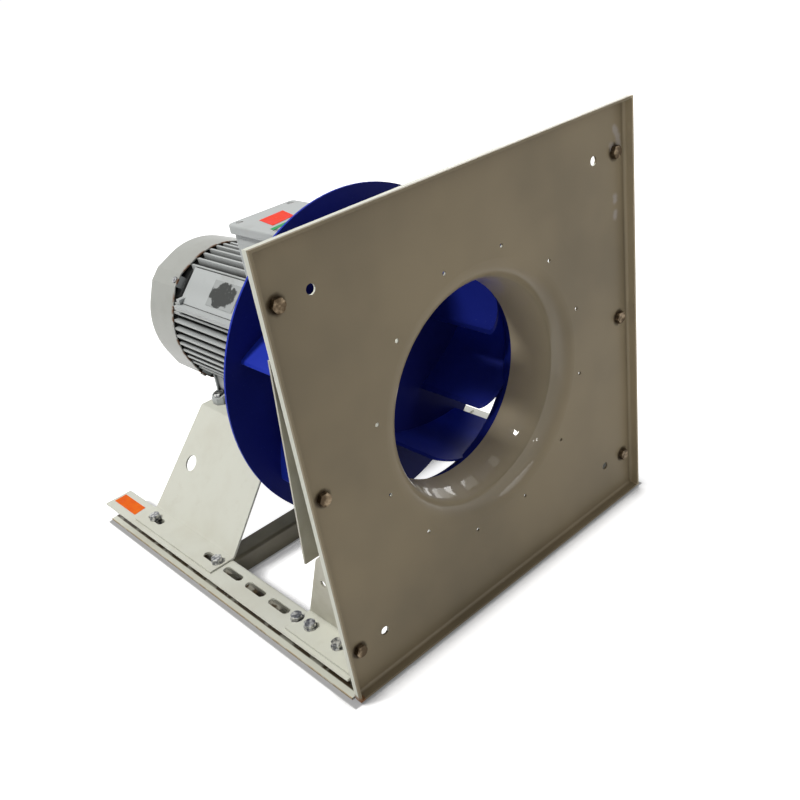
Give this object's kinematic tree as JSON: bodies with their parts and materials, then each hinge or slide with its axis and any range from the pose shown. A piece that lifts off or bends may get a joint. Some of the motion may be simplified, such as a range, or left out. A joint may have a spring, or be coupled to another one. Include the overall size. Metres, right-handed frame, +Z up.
{
  "type": "centrifugal plug fan",
  "caption": "Direct-drive plug fan: square inlet plate with bell mouth, backward-curved wheel on a finned foot motor, folded pedestal and slotted base rails.",
  "frame": {"origin": "middle of the footprint, on the floor plane under the rails", "axes": "+X to the right seen from the inlet side, +Y from the inlet plate back along the shaft, +Z up"},
  "size_m": [0.504, 0.5796, 0.4995],
  "materials": {
    "taupe_paint": "gloss",
    "frame_paint": "satin",
    "zinc_steel": "zinc plated",
    "blue_paint": "satin",
    "cast_iron": "as cast, machined",
    "shaft_steel": "ground",
    "core_steel": "laminated",
    "copper_winding": "varnished winding",
    "motor_aluminium": "painted casting",
    "motor_paint": "satin",
    "bearing_steel": "polished",
    "black_plastic": "moulded",
    "gasket_rubber": "matt",
    "brass": "plain",
    "plate_metal": "dull",
    "label_orange": "film",
    "label_red": "film",
    "label_green": "film"
  },
  "bodies": {
    "frame": {"inlet_plate": "taupe_paint", "upright_left": "frame_paint", "upright_right": "frame_paint", "rail_left": "frame_paint", "rail_right": "frame_paint", "cross_beam": "frame_paint", "pedestal": "frame_paint", "plate_bolts": "taupe_paint", "plate_nuts": "zinc_steel", "rail_bolts": "zinc_steel", "pedestal_bolts": "zinc_steel", "frame_washers": "zinc_steel", "frame_nuts": "zinc_steel", "stator_core": "core_steel", "stator_winding": "copper_winding", "motor_housing": "motor_aluminium", "front_end_shield": "motor_aluminium", "rear_end_shield": "motor_aluminium", "front_bearing_outer": "bearing_steel", "rear_bearing_outer": "bearing_steel", "fan_cowl": "motor_paint", "cowl_screws": "zinc_steel", "motor_foot_left": "motor_aluminium", "motor_foot_right": "motor_aluminium", "motor_foot_bolts": "zinc_steel", "motor_foot_nuts": "zinc_steel", "terminal_box": "motor_aluminium", "box_gasket": "gasket_rubber", "box_lid": "motor_aluminium", "lid_screws": "zinc_steel", "terminal_board": "black_plastic", "terminal_studs": "brass", "cable_gland": "black_plastic", "nameplate": "plate_metal", "rail_label": "label_orange", "lid_label_red": "label_red", "lid_label_green": "label_green"},
    "rotor": {"shaft": "shaft_steel", "rotor_core": "core_steel", "shaft_key": "shaft_steel", "taper_bush": "cast_iron", "hub": "cast_iron", "hub_bolts": "zinc_steel", "end_washer": "zinc_steel", "end_bolt": "zinc_steel", "back_plate": "blue_paint", "shroud": "blue_paint", "front_bearing_inner": "bearing_steel", "rear_bearing_inner": "bearing_steel", "bearing_balls": "bearing_steel", "cooling_fan": "black_plastic", "blade_1": "blue_paint", "blade_2": "blue_paint", "blade_3": "blue_paint", "blade_4": "blue_paint", "blade_5": "blue_paint", "blade_6": "blue_paint", "blade_7": "blue_paint"}
  },
  "joints": [
    {"name": "rotor_spin", "type": "hinge", "parent": "frame", "child": "rotor", "pos_m": [0, -0.05125, 0.252], "axis": [0, 1, 0], "continuous": true}
  ]
}
